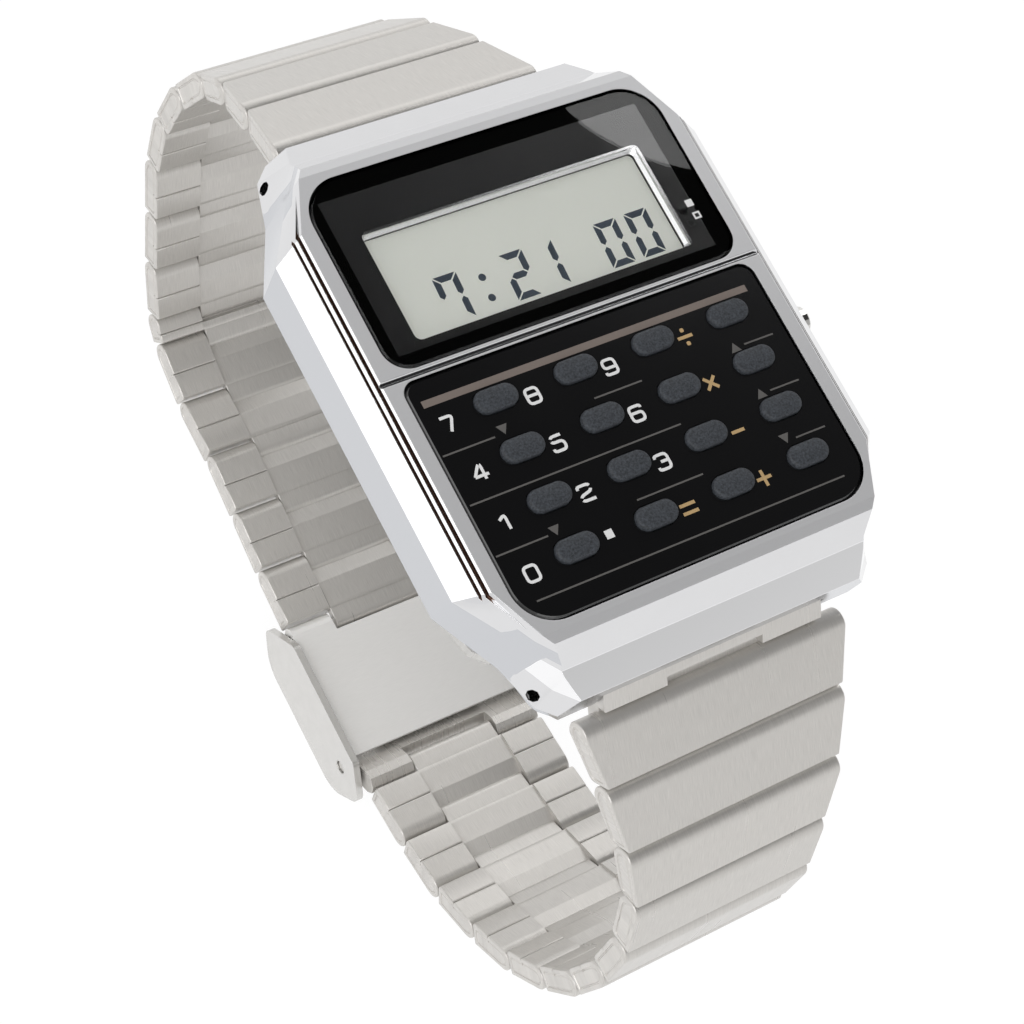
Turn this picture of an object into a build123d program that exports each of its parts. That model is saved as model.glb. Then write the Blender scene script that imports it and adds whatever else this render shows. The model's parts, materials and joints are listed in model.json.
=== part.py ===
from build123d import *
import os
from math import atan2, cos, degrees, hypot, radians, sin

os.makedirs("parts", exist_ok=True)

# A calculator watch on a folded-steel bracelet. X runs to 3 o'clock, Y to 12 o'clock and Z out
# of the dial. The origin is the middle of the flat face of the case back. All sizes are in mm.

# Case: each corner is a quarter of the outline at its level, as x and y; each flank groove is
# the inner and outer distance from the face's edge, and the depth
case_height = 8.2
face_corner = [(15.3, 13.6), (13.55, 17.5), (12.3, 19.0), (10.5, 21.8)]
shoulder_height = 6.3
shoulder_corner = [(17.2, 12.75), (14.1, 17.3), (12.0, 19.9), (9.9, 22.2)]
foot_height = 2.8
foot_corner = [(17.45, 12.4), (14.95, 17.1), (13.9, 20.5), (12.1, 22.2)]
underside_height = 1.2
underside_corner = [(16.3, 11.6), (14.2, 16.4), (13.2, 19.9), (11.7, 22.2)]
end_face_y = 17.5
end_profile = [(18.2, 8.0), (19.6, 5.92), (21.63, 4.57), (21.6, 1.5), (20.4, 0.7)]
flank_grooves = [(0.14, 0.32, 0.45), (0.5, 0.64, 0.75)]
flank_groove_end = 16.6
divider_y = 1.87
divider_half = 0.22
divider_depth = 0.25

# Openings in the face
panel_half_width = 14.2
panel_thickness = 0.9
panel_gap = 0.06
panel_bevel = 0.2
display_low_y = 2.3
display_high_y = 16.85
keypad_high_y = 1.45
keypad_low_y = -16.95
panel_round = 3.0
panel_small_round = 1.9
keypad_small_round = 1.1
ledge_thickness = 1.2
ledge_width = 1.25

# Bay for the module
bay_inset = 1.2
bay_half_width = panel_half_width - bay_inset
bay_half_length = display_high_y - ledge_width
bay_round = 2.0

# Display
window_inset = 3.0
window_half_width = panel_half_width - window_inset
window_low_y = 4.15
window_high_y = 12.5
window_round = 0.7
frame_border = 0.5
frame_thickness = 0.75
glass_border = 0.8
glass_end_gap = 2.3
frame_gap = 0.05

# Keys
key_columns = 4
key_steps = 3
key_left_inset = 5.74
key_right_inset = 3.67
key_first_x = key_left_inset - panel_half_width
key_first_y = -1.66
key_pitch_x = (2 * panel_half_width - key_left_inset - key_right_inset) / key_steps
key_pitch_y = 3.78
key_length = 3.25
key_width = 1.7
key_proud = 0.45
key_gap = 0.1
key_edge = 0.18
key_flange = 0.35
key_flange_thickness = 0.4
key_names = [
    "key_7", "key_8", "key_9", "key_divide",
    "key_4", "key_5", "key_6", "key_times",
    "key_1", "key_2", "key_3", "key_minus",
    "key_0", "key_point", "key_equals", "key_plus",
]

# Module, stacked down from the ledge under the panels
layer_gap = 0.1
membrane_thickness = 0.5
dome_radius = 0.8
dome_rise = 0.15
board_thickness = 0.8
chip_size = 5.0
chip_thickness = 0.6
chip_y = 9.0
battery_side_gap = 1.65
battery_base = 1.75
battery_room = 1.35
battery_cap_inset = 1.0
battery_end_gap = 0.45
tray_base = 1.5
tray_wall = 1.1
tray_gap = 0.25
board_gap = 0.3
strap_width = 3.0
strap_base = 1.5
strap_thickness = 0.2

# Case back
pad_height = 0.4
pad_half_width = 12.3
pad_half_length = 14.0
back_half_length = 16.6
back_round = 3.0
gasket_width = 0.5
gasket_height = 0.5
gasket_gap = 0.05
buzzer_radius = 7.0
buzzer_thickness = 0.15
screw_inset = 1.6
screw_edge = 1.1
screw_x = bay_half_width + screw_inset
back_half_width = screw_x + screw_edge
screw_y = 11.2
screw_head_radius = 0.9
screw_head_height = 0.5
screw_head_gap = 0.08
screw_radius = 0.5
screw_length = 2.8
screw_gap = 0.02
screw_slot_width = 0.3
screw_slot_depth = 0.25

# Side buttons, as y, head radius and how far the head stands out of the flank
button_height = 4.6
flank_x = 17.3
mode_y = -2.9
mode_radius = 1.05
mode_proud = 0.95
adjust_y = 6.2
adjust_radius = 0.75
adjust_proud = -0.15
button_head_length = 1.5
button_pocket = 1.3
button_stem_radius = 0.45
button_gap = 0.06
button_edge = 0.15
button_slot = 0.3
button_slot_depth = 0.2
button_clip_radius = 0.9
button_clip_thickness = 0.35
button_clip_room = 0.3
button_clip_travel = 0.9

# Lugs and spring bars
bar_y = 19.8
bar_height = 3.3
bar_radius = 0.55
bar_gap = 0.05
bar_half_length = 12.6
bar_tip_radius = 0.4
lug_gap_half = 9.25
lug_pocket_radius = 1.45
lug_pocket_wall = 18.35
lug_pocket_lip = 3.05
neck_clearance = 0.09

# Bracelet: the leans are degrees below level, link by link, seen going out from the case
link_pitch = 5.3
link_pitch_12 = 5.4
pitch_12_share = [1, 1, 1, 1, 1, 1, 1, 1, 0.5, 1, 1, 1, 1, 1]
link_half = 1.05
link_gap = 0.12
link_edge = 0.12
taper = [10.95, 10.0, 9.1, 8.3, 8.2]
bridge_half = 4.0
bridge_top = 0.2
bridge_root = 0.3
bridge_gap = 0.15
pocket_half = bridge_half + bridge_gap
pocket_top = 0.42
pocket_end = 0.8
barrel_radius = 0.68
barrel_gap = 0.08
pin_radius = 0.3
pin_gap = 0.05
pin_fit = 0.02
recess_depth = 0.25
first_pin_12 = (28.5, -2.6)
first_lean_12 = 32.0
first_length_12 = 6.3
leans_12 = [39.7, 54.3, 68.8, 83.3, 97.8, 112.3, 111.9, 119.2, 146.6, 166.1, 180.0, 172.2, 171.8, 175.6]
first_pin_6 = (27.09, -2.87)
first_lean_6 = 38.0
first_length_6 = 5.24
leans_6 = [43.8, 59.7, 69.8, 85.3, 96.6, 110.9, 122.2, 136.5, 147.8, 164.6, 170.8]

# First links, which reach in between the lugs
neck_half = 9.1
neck_radius = 1.08
neck_lean = 48.9
neck_length = 2.9
neck_under = 0.7
neck_root_start = 1.5
neck_root_end = 4.6
neck_root_top = 0.3
neck_root_under = 1.0
neck_window_half = 4.0
neck_window_start = 2.2

# Clasp
blade_overlap = 0.1
blade_half = taper[-1] + blade_overlap
blade_gap = 0.1
cover_wall = 0.6
cover_half = blade_half + blade_gap + cover_wall
cover_floor = 0.7
cover_profile = [
    (0.9, -43.7), (4.3, -47.6), (1.9, -50.9), (-10.2, -50.9), (-12.9, -46.8), (-10.3, -43.7),
]
cover_rounds = [0.8, 1.0, 3.0, 3.0, 1.2, 0.8]
cover_hinge_y = -0.2
cover_hinge_height = -49.0
clasp_bar_y = -9.5
clasp_bar_height = -46.6
clasp_bar_radius = 0.5
clasp_bar_hole = 0.62
clasp_bar_inset = 0.15
clasp_bar_half = cover_half - clasp_bar_inset
end_barrel_radius = 0.85
end_web_start = 1.1
blade_top = -44.6
blade_thickness = 0.45
blade_low_y = -9.5
blade_pivot_y = 2.0
blade_pivot_height = -45.6
knuckle_gap = 0.4
knuckle_inner_half = bridge_half + knuckle_gap
knuckle_half = taper[-1]
blade_hinge_y = -7.6
blade_hinge_height = -46.0
clasp_hinge_radius = 0.6
middle_half = 3.6
middle_thickness = 0.7
ear_gap = 0.2
ear_width = 1.0
ear_inner = middle_half + ear_gap
ear_outer = ear_inner + ear_width

# Rounds drawn with flat sides: how many go round each, and the corners' turns in degrees. A
# barrel is a true round over its nose, and its other corners are turns from the nose.
pin_sides = 8
screw_sides = 8
dome_sides = 6
bar_sides = 16
button_sides = 16
disc_sides = 28
half_round_turns = [0, 45, 90, 135, 180]
corner_turns = [0, 30, 60, 90]
half_turn = 180
nose_turn = 10
barrel_turns = [60, 110, 160, 200, 250, 300]

overrun = 1.0

side_plane = Plane.YZ


def four_ways(corner):
    """The closed outline that repeats a corner's points in all four quadrants."""
    turned = list(reversed(corner))
    return (
        [(x, y) for x, y in corner]
        + [(-x, y) for x, y in turned]
        + [(-x, -y) for x, y in corner]
        + [(x, -y) for x, y in turned]
    )


def neck_point(side, along, out):
    """A point of the first link's neck, measured from the spring bar, in the side view."""
    slope = radians(neck_lean)
    y = bar_y + along * cos(slope) + out * sin(slope)
    z = bar_height - along * sin(slope) + out * cos(slope)
    return (side * y, z)


def box_outline(low_x, high_x, low_y, high_y):
    """Corner points of a rectangle given by its four sides."""
    return [(low_x, low_y), (high_x, low_y), (high_x, high_y), (low_x, high_y)]


def panel_outline(low_y, high_y, half_width, low_round, high_round):
    """A panel's outline as a face in the running sketch, with a radius for each end."""
    with BuildLine() as outline:
        FilletPolyline(
            (half_width, low_y), (half_width, high_y), (-half_width, high_y), (-half_width, low_y),
            radius=[low_round, high_round, high_round, low_round],
            close=True,
        )
    make_face(outline.edges())


def rounded_slab(half_width, half_length, corner_radius, mode=Mode.ADD):
    """A rectangle given by its half sizes, with a few flat sides round each corner."""
    middle_x = half_width - corner_radius
    middle_y = half_length - corner_radius
    corner = [
        (middle_x + corner_radius * cos(radians(turn)), middle_y + corner_radius * sin(radians(turn)))
        for turn in corner_turns
    ]
    Polygon(*four_ways(corner), align=None, mode=mode)


def half_round(radius):
    """Corners of a half round that bulges to the left, from its top down to its foot."""
    return [
        (-radius * sin(radians(turn)), radius * cos(radians(turn))) for turn in half_round_turns
    ]


def barrel(centre, radius, facing):
    """A barrel's outline as a face in the running sketch, with its nose in the given direction."""
    nose_low, nose_tip, nose_high = [
        (centre[0] + radius * cos(radians(turn)), centre[1] + radius * sin(radians(turn)))
        for turn in (facing - nose_turn, facing, facing + nose_turn)
    ]
    behind = [
        (centre[0] + radius * cos(radians(turn)), centre[1] + radius * sin(radians(turn)))
        for turn in [facing + barrel_turn for barrel_turn in barrel_turns]
    ]
    with BuildLine() as rim:
        ThreePointArc(nose_low, nose_tip, nose_high)
        Polyline(nose_high, *behind, nose_low)
    make_face(rim.edges())


def pill(length, width):
    """A slot-shaped outline with a few flat sides round each end."""
    left_end = [(x - (length - width) / 2, y) for x, y in half_round(width / 2)]
    right_end = [(-x, -y) for x, y in left_end]
    Polygon(*(left_end + right_end), align=None)


def save(part, label):
    """Labels a finished piece and writes it under the same name."""
    part.label = label
    export_step(part, f"parts/{label}.step")


def place(index):
    """Centre of a key, counted along the rows from the top left."""
    column = index % key_columns
    row = index // key_columns
    return (key_first_x + column * key_pitch_x, key_first_y - row * key_pitch_y)


key_places = [place(index) for index in range(len(key_names))]
screw_places = [(x, y) for x in (-screw_x, screw_x) for y in (-screw_y, screw_y)]

panel_base = case_height - panel_thickness
bay_top = panel_base - ledge_thickness
flange_base = panel_base - layer_gap - key_flange_thickness
membrane_base = bay_top - membrane_thickness
board_base = membrane_base - layer_gap - board_thickness

# Case: flanks lofted from the underside up to the face, trimmed by the profile of the ends
with BuildPart() as case_middle:
    for level, corner in [
        (underside_height, underside_corner),
        (foot_height, foot_corner),
        (shoulder_height, shoulder_corner),
        (case_height, face_corner),
    ]:
        with BuildSketch(Plane.XY.offset(level)):
            Polygon(*four_ways(corner), align=None)
    loft(ruled=True)
    with BuildSketch(Plane.XY.offset(end_profile[-1][1])):
        Polygon(*four_ways(underside_corner), align=None)
    extrude(amount=underside_height - end_profile[-1][1])
    with BuildSketch(side_plane):
        right_side = [(end_face_y, case_height)] + end_profile + [(end_face_y, underside_height)]
        left_side = [(-y, z) for y, z in reversed(right_side)]
        Polygon(*(right_side + left_side), align=None)
    extrude(amount=foot_corner[0][0] + overrun, both=True, mode=Mode.INTERSECT)
    # Two grooves with a ridge between them run along the bevel of each flank
    for inner, outer, depth in flank_grooves:
        with BuildSketch(Plane.XY.offset(case_height - depth)):
            Polygon(*four_ways(face_corner), align=None)
            offset(amount=outer, kind=Kind.INTERSECTION)
            with BuildLine(mode=Mode.PRIVATE) as inner_edge:
                Polyline(*four_ways(face_corner), close=True)
                offset(amount=inner, kind=Kind.INTERSECTION)
            add(make_face(inner_edge.edges(), mode=Mode.PRIVATE), mode=Mode.SUBTRACT)
            Rectangle(2 * (shoulder_corner[0][0] + overrun), 2 * flank_groove_end, mode=Mode.INTERSECT)
        extrude(amount=depth + overrun, mode=Mode.SUBTRACT)
    # A channel crosses the face between the two panels
    with BuildSketch(side_plane):
        Polygon(
            (divider_y - divider_half, case_height),
            (divider_y, case_height - divider_depth),
            (divider_y + divider_half, case_height),
            align=None,
        )
    extrude(amount=foot_corner[0][0], both=True, mode=Mode.SUBTRACT)
    # Bay, with a step at its mouth for the gasket
    with BuildSketch(Plane.XY.offset(underside_height - overrun)):
        rounded_slab(bay_half_width, bay_half_length, bay_round)
    extrude(amount=bay_top - underside_height + overrun, mode=Mode.SUBTRACT)
    with BuildSketch(Plane.XY.offset(underside_height - overrun)):
        rounded_slab(
            bay_half_width + gasket_width + gasket_gap,
            bay_half_length + gasket_width + gasket_gap,
            bay_round,
        )
    extrude(amount=gasket_height + gasket_gap + overrun, mode=Mode.SUBTRACT)
    # Seats for the two panels, and the ledges under them
    with BuildSketch(Plane.XY.offset(panel_base)):
        panel_outline(
            display_low_y - panel_gap, display_high_y + panel_gap, panel_half_width + panel_gap,
            panel_small_round, panel_round,
        )
        panel_outline(
            keypad_low_y - panel_gap, keypad_high_y + panel_gap, panel_half_width + panel_gap,
            panel_round, keypad_small_round,
        )
    extrude(amount=panel_thickness + overrun, mode=Mode.SUBTRACT)
    with BuildSketch(Plane.XY.offset(bay_top - overrun)):
        Polygon(
            *box_outline(
                ledge_width - panel_half_width, panel_half_width - ledge_width,
                display_low_y + ledge_width, bay_half_length,
            ),
            align=None,
        )
        Polygon(
            *box_outline(
                ledge_width - panel_half_width, panel_half_width - ledge_width,
                -bay_half_length, keypad_high_y - ledge_width,
            ),
            align=None,
        )
    extrude(amount=ledge_thickness + 2 * overrun, mode=Mode.SUBTRACT)
    # Gaps between the lugs for the first links, and the holes for the spring bars
    for side in (1, -1):
        with BuildSketch(side_plane):
            Polygon(
                (side * lug_pocket_wall, underside_height - overrun),
                (side * (end_profile[2][0] + overrun), underside_height - overrun),
                (side * (end_profile[2][0] + overrun), lug_pocket_lip),
                (side * lug_pocket_wall, lug_pocket_lip),
                align=None,
            )
            with Locations((side * bar_y, bar_height)):
                RegularPolygon(lug_pocket_radius, bar_sides)
            neck_room = box_outline(0, neck_length, -neck_under, neck_radius + neck_clearance)
            Polygon(*[neck_point(side, along, out) for along, out in neck_room], align=None)
        extrude(amount=lug_gap_half, both=True, mode=Mode.SUBTRACT)
        with BuildSketch(side_plane):
            with Locations((side * bar_y, bar_height)):
                RegularPolygon(bar_tip_radius + bar_gap, pin_sides)
        extrude(amount=foot_corner[0][0] + overrun, both=True, mode=Mode.SUBTRACT)
    # Button pockets in the flank, each with a narrow hole on into the bay
    for y, radius in ((mode_y, mode_radius), (adjust_y, adjust_radius)):
        with BuildSketch(side_plane.offset(flank_x - button_pocket)):
            with Locations((y, button_height)):
                RegularPolygon(radius + button_gap, button_sides)
        extrude(amount=button_pocket + overrun, mode=Mode.SUBTRACT)
        with BuildSketch(side_plane.offset(bay_half_width - overrun)):
            with Locations((y, button_height)):
                RegularPolygon(button_stem_radius + button_gap, pin_sides)
        extrude(amount=flank_x - bay_half_width, mode=Mode.SUBTRACT)
    # Blind holes for the case-back screws
    with BuildSketch(Plane.XY.offset(underside_height)):
        with Locations(*screw_places):
            RegularPolygon(screw_radius + screw_gap, screw_sides)
    extrude(amount=screw_length, mode=Mode.SUBTRACT)
save(case_middle.part, "case_middle")

# Spring bars: a tube between the lugs, with a thinner tip in the hole of each lug
with BuildPart() as spring_bars:
    with BuildSketch(side_plane):
        with Locations((bar_y, bar_height), (-bar_y, bar_height)):
            RegularPolygon(bar_radius, bar_sides)
    extrude(amount=neck_half, both=True)
    with BuildSketch(side_plane):
        with Locations((bar_y, bar_height), (-bar_y, bar_height)):
            RegularPolygon(bar_tip_radius, pin_sides)
    extrude(amount=bar_half_length, both=True)
save(spring_bars.part, "spring_bars")

# Display crystal and keypad panel
with BuildPart() as display_crystal:
    with BuildSketch(Plane.XY.offset(panel_base)):
        panel_outline(display_low_y, display_high_y, panel_half_width, panel_small_round, panel_round)
    extrude(amount=panel_thickness)
    chamfer(display_crystal.faces().sort_by(Axis.Z)[-1].edges(), panel_bevel)
save(display_crystal.part, "display_crystal")

with BuildPart() as keypad_panel:
    with BuildSketch(Plane.XY.offset(panel_base)):
        panel_outline(keypad_low_y, keypad_high_y, panel_half_width, panel_round, keypad_small_round)
    extrude(amount=panel_thickness)
    chamfer(keypad_panel.faces().sort_by(Axis.Z)[-1].edges(), panel_bevel)
    with BuildSketch(Plane.XY.offset(panel_base)):
        with Locations(*key_places):
            pill(key_length + 2 * key_gap, key_width + 2 * key_gap)
    extrude(amount=panel_thickness, mode=Mode.SUBTRACT)
save(keypad_panel.part, "keypad_panel")

# Display module: the liquid-crystal glass under its bright frame
frame_top = panel_base - frame_gap
frame_base = frame_top - frame_thickness
glass_base = board_base + board_thickness + layer_gap
with BuildPart() as display_module:
    with BuildSketch(Plane.XY.offset(glass_base)):
        Polygon(
            *box_outline(
                -window_half_width - glass_border, window_half_width + glass_border,
                window_low_y - frame_border / 2, bay_half_length - glass_end_gap,
            ),
            align=None,
        )
    extrude(amount=frame_base - glass_base)
    with BuildSketch(Plane.XY.offset(frame_base + frame_gap)):
        panel_outline(
            window_low_y - frame_border, window_high_y + frame_border,
            window_half_width + frame_border, window_round, window_round,
        )
        window = box_outline(-window_half_width, window_half_width, window_low_y, window_high_y)
        Polygon(*window, align=None, mode=Mode.SUBTRACT)
    extrude(amount=frame_thickness - frame_gap)
save(display_module.part, "display_module")

# Keys, each with a flange that the panel keeps in
for label, spot in zip(key_names, key_places):
    with BuildPart() as key:
        with BuildSketch(Plane.XY.offset(flange_base)):
            with Locations(spot):
                Rectangle(key_length + 2 * key_flange, key_width + 2 * key_flange)
        extrude(amount=key_flange_thickness)
        with BuildSketch(Plane.XY.offset(flange_base + key_flange_thickness)):
            with Locations(spot):
                pill(key_length, key_width)
        extrude(amount=case_height + key_proud - flange_base - key_flange_thickness)
        chamfer(key.faces().sort_by(Axis.Z)[-1].edges(), key_edge)
    save(key.part, label)

# Key membrane, with a low dome under each key
with BuildPart() as key_membrane:
    with BuildSketch(Plane.XY.offset(membrane_base)):
        Polygon(
            *box_outline(
                tray_wall - bay_half_width, bay_half_width - tray_wall,
                tray_gap - bay_half_length, keypad_high_y - ledge_width,
            ),
            align=None,
        )
    extrude(amount=membrane_thickness)
    with BuildSketch(Plane.XY.offset(membrane_base + membrane_thickness)):
        with Locations(*key_places):
            RegularPolygon(dome_radius, dome_sides)
    extrude(amount=dome_rise)
save(key_membrane.part, "key_membrane")

# Circuit board with its chip and the contact strap that holds the battery
tray_half_width = bay_half_width - tray_gap
tray_half_length = bay_half_length - tray_gap
board_half_width = tray_half_width - tray_wall - board_gap
board_half_length = tray_half_length - tray_wall - board_gap
battery_radius = tray_half_width - tray_wall - battery_side_gap
battery_thickness = board_base - battery_room - battery_base
battery_y = battery_radius + battery_end_gap + tray_wall - tray_half_length
with BuildPart() as circuit_board:
    with BuildSketch(Plane.XY.offset(board_base)):
        Rectangle(2 * board_half_width, 2 * board_half_length)
    extrude(amount=board_thickness)
    with BuildSketch(Plane.XY.offset(board_base - chip_thickness)):
        with Locations((0, chip_y)):
            Rectangle(chip_size, chip_size)
    extrude(amount=chip_thickness)
    with BuildSketch(Plane.XY.offset(strap_base)):
        with Locations((0, battery_y)):
            Rectangle(2 * board_half_width, strap_width)
    extrude(amount=strap_thickness)
save(circuit_board.part, "circuit_board")

# Battery: a can with a smaller cap on the side towards the board
with BuildPart() as battery:
    with BuildSketch(Plane.XY.offset(battery_base)):
        with Locations((0, battery_y)):
            RegularPolygon(battery_radius, disc_sides)
    extrude(amount=battery_thickness - layer_gap)
    with BuildSketch(Plane.XY.offset(battery_base + battery_thickness - layer_gap)):
        with Locations((0, battery_y)):
            RegularPolygon(battery_radius - battery_cap_inset, disc_sides)
    extrude(amount=layer_gap)
save(battery.part, "battery")

# Module frame round the battery and the board, notched for the clips on the button stems
with BuildPart() as module_frame:
    with BuildSketch(Plane.XY.offset(tray_base)):
        rounded_slab(tray_half_width, tray_half_length, bay_round)
        Rectangle(2 * (tray_half_width - tray_wall), 2 * (tray_half_length - tray_wall), mode=Mode.SUBTRACT)
    extrude(amount=board_base + board_thickness - tray_base)
    with BuildSketch(side_plane.offset(tray_half_width - tray_wall - overrun)):
        for y in (mode_y, adjust_y):
            with Locations((y, button_height)):
                Rectangle(
                    2 * (button_clip_radius + button_clip_room),
                    2 * (button_clip_radius + button_clip_room),
                )
    extrude(amount=tray_wall + 2 * overrun, mode=Mode.SUBTRACT)
save(module_frame.part, "module_frame")

# Case back: a plate with the flat pad that rests on the wrist, its gasket and the buzzer disc
with BuildPart() as case_back:
    with BuildSketch(Plane.XY.offset(pad_height)):
        rounded_slab(back_half_width, back_half_length, back_round)
    extrude(amount=underside_height - pad_height)
    with BuildSketch():
        rounded_slab(pad_half_width, pad_half_length, back_round)
    extrude(amount=pad_height)
    with BuildSketch(Plane.XY.offset(pad_height)):
        with Locations(*screw_places):
            RegularPolygon(screw_head_radius + screw_head_gap, screw_sides)
    extrude(amount=screw_head_height, mode=Mode.SUBTRACT)
    with BuildSketch(Plane.XY.offset(pad_height)):
        with Locations(*screw_places):
            RegularPolygon(screw_radius + screw_gap, screw_sides)
    extrude(amount=underside_height - pad_height, mode=Mode.SUBTRACT)
    with BuildSketch(Plane.XY.offset(underside_height + gasket_gap)):
        rounded_slab(bay_half_width + gasket_width, bay_half_length + gasket_width, bay_round)
        rounded_slab(
            bay_half_width + gasket_gap, bay_half_length + gasket_gap, bay_round, mode=Mode.SUBTRACT
        )
    extrude(amount=gasket_height - gasket_gap)
    with BuildSketch(Plane.XY.offset(underside_height + gasket_gap)):
        RegularPolygon(buzzer_radius, disc_sides)
    extrude(amount=buzzer_thickness)
save(case_back.part, "case_back")

# Case-back screws, four alike
with BuildPart() as back_screws:
    with BuildSketch(Plane.XY.offset(pad_height)):
        with Locations(*screw_places):
            RegularPolygon(screw_head_radius, screw_sides)
    extrude(amount=screw_head_height)
    with BuildSketch(Plane.XY.offset(pad_height)):
        with Locations(*screw_places):
            RegularPolygon(screw_radius, screw_sides)
    extrude(amount=screw_length)
    with BuildSketch(Plane.XY.offset(pad_height)):
        with Locations(*screw_places):
            Rectangle(2 * screw_head_radius, screw_slot_width)
    extrude(amount=screw_slot_depth, mode=Mode.SUBTRACT)
save(back_screws.part, "back_screws")

# Side buttons: a head in its pocket, a stem through the wall and a clip inside the bay
for label, y, radius, proud in (
    ("mode_button", mode_y, mode_radius, mode_proud),
    ("adjust_button", adjust_y, adjust_radius, adjust_proud),
):
    head_base = flank_x + proud - button_head_length
    if proud < 0:
        head_base = flank_x - button_pocket / 2
    with BuildPart() as button:
        with BuildSketch(side_plane.offset(head_base)):
            with Locations((y, button_height)):
                RegularPolygon(radius, button_sides)
        extrude(amount=flank_x + proud - head_base)
        chamfer(button.faces().sort_by(Axis.X)[-1].edges(), button_edge)
        with BuildSketch(side_plane.offset(flank_x + proud - button_slot_depth)):
            with Locations((y, button_height)):
                Rectangle(2 * radius, button_slot)
        extrude(amount=button_slot_depth, mode=Mode.SUBTRACT)
        with BuildSketch(side_plane.offset(bay_half_width - button_clip_travel)):
            with Locations((y, button_height)):
                RegularPolygon(button_stem_radius, pin_sides)
        extrude(amount=head_base - bay_half_width + button_clip_travel)
        with BuildSketch(side_plane.offset(bay_half_width - button_clip_thickness - layer_gap)):
            with Locations((y, button_height)):
                RegularPolygon(button_clip_radius, pin_sides)
        extrude(amount=button_clip_thickness)
    save(button.part, label)


def seat_plane(side, pin, lean):
    """A link's own plane: Y along the band, Z out of it, with the hinge pin at the origin."""
    slope = radians(lean)
    return Plane(
        origin=(0, side * pin[0], pin[1]),
        x_dir=(side, 0, 0),
        z_dir=(0, side * sin(slope), cos(slope)),
    )


def across_plane(seat):
    """The same seat turned so that a sketch on it is the link's side view."""
    return Plane(origin=seat.origin, x_dir=seat.y_dir, z_dir=seat.x_dir)


def next_pin(pin, lean, pitch):
    """Where the next hinge pin lies, one pitch along the lean."""
    return (pin[0] + pitch * cos(radians(lean)), pin[1] - pitch * sin(radians(lean)))


def link_body(seat, pitch, wide, narrow):
    """The folded shell: round at its pin, flat at its far end, and narrowing along the band."""
    end = pitch - link_half - link_gap
    with BuildSketch(seat) as plan:
        Polygon((-wide, -link_half), (wide, -link_half), (narrow, end), (-narrow, end), align=None)
    extrude(plan.sketch, amount=link_half, both=True)
    with BuildSketch(across_plane(seat)) as profile:
        Polygon(
            *half_round(link_half),
            (end - link_edge, -link_half), (end, link_edge - link_half),
            (end, link_half - link_edge), (end - link_edge, link_half),
            align=None,
        )
    extrude(profile.sketch, amount=wide + overrun, both=True, mode=Mode.INTERSECT)
    return end


def link_bridge(seat, pitch, end):
    """The middle strip that reaches on to the next pin and ends in a barrel round it."""
    with BuildSketch(across_plane(seat)) as bridge:
        Polygon(*box_outline(end - bridge_root, pitch, -barrel_radius, bridge_top), align=None)
        barrel((pitch, 0), barrel_radius, 0)
        with Locations((pitch, 0)):
            RegularPolygon(pin_radius + pin_gap, pin_sides, mode=Mode.SUBTRACT)
    extrude(bridge.sketch, amount=bridge_half, both=True)


def link_pin(seat):
    """The hinge pin at the seat's origin, pressed into the flanks and one solid with them."""
    with BuildSketch(across_plane(seat)) as pin_end:
        RegularPolygon(pin_radius, pin_sides)
    extrude(pin_end.sketch, amount=pocket_half, both=True)


def make_link(label, seat, pitch, wide, narrow):
    """A bracelet link with its pocket for the last barrel, its own bridge and its pin."""
    with BuildPart() as link:
        end = link_body(seat, pitch, wide, narrow)
        with BuildSketch(across_plane(seat)):
            RegularPolygon(barrel_radius + barrel_gap, pin_sides)
            Polygon(
                *box_outline(
                    -link_half - overrun, pocket_end, -link_half - overrun, pocket_top
                ),
                align=None,
            )
        extrude(amount=pocket_half, both=True, mode=Mode.SUBTRACT)
        with BuildSketch(across_plane(seat)):
            Polygon(
                *box_outline(0, end + overrun, -link_half - overrun, recess_depth - link_half), align=None
            )
        extrude(amount=pocket_half, both=True, mode=Mode.SUBTRACT)
        link_bridge(seat, pitch, end)
        link_pin(seat)
    save(link.part, label)


def make_first_link(label, side, pin, lean, length):
    """The first link: a neck round the spring bar between the lugs, then the widest sleeve."""
    start = next_pin(pin, lean, -length)
    seat = seat_plane(side, start, lean)
    neck_seat = across_plane(seat_plane(side, (bar_y, bar_height), neck_lean))
    with BuildPart() as link:
        end = link_body(seat, length, taper[0], taper[1])
        with BuildSketch(neck_seat):
            barrel((0, 0), neck_radius, half_turn)
            Polygon(*box_outline(0, neck_length, -neck_under, neck_radius), align=None)
            Polygon(
                *box_outline(neck_root_start, neck_root_end, -neck_root_under, neck_root_top), align=None
            )
        extrude(amount=neck_half, both=True)
        with BuildSketch(neck_seat):
            Polygon(
                *box_outline(neck_window_start, neck_length, -neck_under / 2, neck_radius + overrun),
                align=None,
            )
        extrude(amount=neck_window_half, both=True, mode=Mode.SUBTRACT)
        with BuildSketch(neck_seat):
            RegularPolygon(bar_radius + bar_gap, bar_sides)
        extrude(amount=neck_half + overrun, both=True, mode=Mode.SUBTRACT)
        link_bridge(seat, length, end)
    save(link.part, label)


def half_width_at(number):
    """Half the bracelet's width where the link of this number starts."""
    return taper[:number][-1]


# Bracelet, half by half
make_first_link("link_12_01", 1, first_pin_12, first_lean_12, first_length_12)
pin = first_pin_12
for number, (lean, share) in enumerate(zip(leans_12, pitch_12_share), start=2):
    pitch = link_pitch_12 * share
    make_link(
        f"link_12_{number:02d}", seat_plane(1, pin, lean), pitch,
        half_width_at(number), half_width_at(number + 1),
    )
    pin = next_pin(pin, lean, pitch)

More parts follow.
